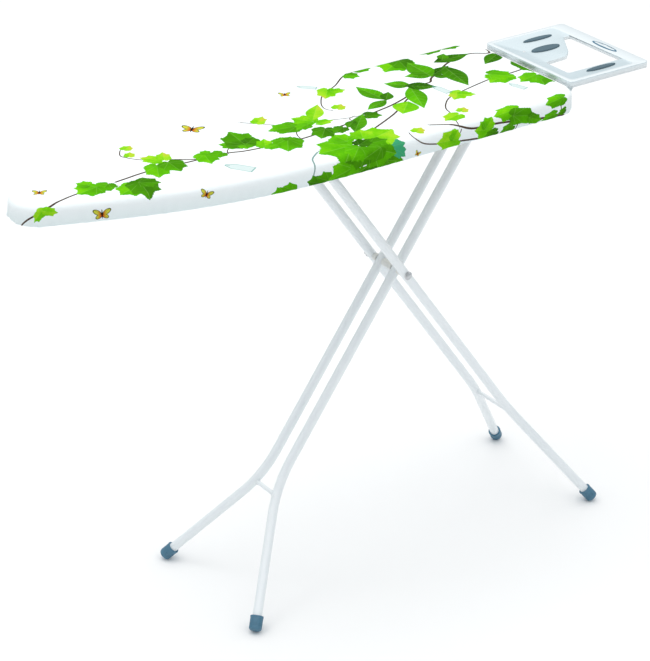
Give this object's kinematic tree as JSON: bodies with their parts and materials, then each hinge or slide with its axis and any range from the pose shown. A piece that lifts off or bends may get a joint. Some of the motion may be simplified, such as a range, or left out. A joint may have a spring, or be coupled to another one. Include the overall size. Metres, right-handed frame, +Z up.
{
  "type": "ironing board",
  "caption": "Folding ironing board on crossed tube legs, with a padded fabric top, a height lever under it and a metal iron rest at the wide end.",
  "frame": {"origin": "on the floor, under the middle of the whole length and width, with the legs open", "axes": "+X from the nose to the iron rest, +Z up, -Y the side with the height lever's grip"},
  "size_m": [1.298, 0.3344, 0.9206],
  "materials": {
    "cover_cotton": "printed woven cotton",
    "foam": "soft polyester foam",
    "white_paint": "white powder coat",
    "zinc_steel": "zinc-plated steel",
    "slate_plastic": "satin slate-blue plastic",
    "white_nylon": "satin nylon",
    "rest_enamel": "smooth white enamel",
    "grey_silicone": "matt silicone"
  },
  "bodies": {
    "board": {"cover": "cover_cotton", "foam_pad": "foam", "mesh_top": "white_paint", "rim_nose": "white_paint", "rim_near": "white_paint", "rim_far": "white_paint", "rim_rear": "white_paint", "stay_front": "white_paint", "stay_middle": "white_paint", "stay_hinge": "white_paint", "stay_rear": "white_paint", "rail_near": "white_paint", "rail_far": "white_paint", "hinge_bracket": "zinc_steel", "lever_bracket_front": "zinc_steel", "lever_bracket_rear": "zinc_steel", "lever_spring": "zinc_steel", "rest_tray": "rest_enamel", "rest_pad_far": "grey_silicone", "rest_pad_wide": "grey_silicone", "rest_pad_near": "grey_silicone", "rest_arm_near": "white_paint", "rest_arm_far": "white_paint", "rest_rivet_near": "zinc_steel", "rest_rivet_far": "zinc_steel", "rest_screw_1": "zinc_steel", "rest_screw_2": "zinc_steel", "rest_screw_3": "zinc_steel", "rest_screw_4": "zinc_steel"},
    "hinged_leg": {"hinged_tube_near": "white_paint", "hinged_tube_far": "white_paint", "hinged_brace": "white_paint", "hinged_cap_near": "slate_plastic", "hinged_cap_far": "slate_plastic", "hinged_plug_near": "white_nylon", "hinged_plug_far": "white_nylon", "hinge_rod": "zinc_steel", "hinge_washer_near": "white_nylon", "hinge_washer_far": "white_nylon", "crossing_bolt": "zinc_steel", "crossing_nut": "zinc_steel", "crossing_spacer_middle": "white_nylon"},
    "sliding_leg": {"sliding_tube_near": "white_paint", "sliding_tube_far": "white_paint", "sliding_brace": "white_paint", "sliding_cap_near": "slate_plastic", "sliding_cap_far": "slate_plastic", "sliding_plug_near": "white_nylon", "sliding_plug_far": "white_nylon", "slide_axle": "zinc_steel", "glide_near": "white_nylon", "glide_far": "white_nylon", "crossing_spacer_near": "white_nylon", "crossing_spacer_far": "white_nylon", "crossing_washer_near": "zinc_steel", "crossing_washer_far": "zinc_steel"},
    "height_lever": {"lever_shaft": "zinc_steel", "lever_comb": "zinc_steel", "lever_arm": "zinc_steel", "lever_grip": "slate_plastic"}
  },
  "joints": [
    {"name": "leg_fold", "type": "hinge", "parent": "board", "child": "hinged_leg", "pos_m": [0.34085, 0, 0.8695], "axis": [0, 1, 0], "range_deg": [0, 52.84]},
    {"name": "leg_crossing", "type": "hinge", "parent": "hinged_leg", "child": "sliding_leg", "pos_m": [0.136, 0, 0.584], "axis": [0, 1, 0], "range_deg": [-105.68, 0]},
    {"name": "height_lever", "type": "hinge", "parent": "board", "child": "height_lever", "pos_m": [0.136, 0.0365, 0.8855], "axis": [1, 0, 0], "range_deg": [0, 13], "stiffness_Nm_per_rad": 0.4, "springref_deg": 13}
  ],
  "couplings": [
    {"joint": "leg_crossing", "follows": "leg_fold", "ratio": -2}
  ]
}
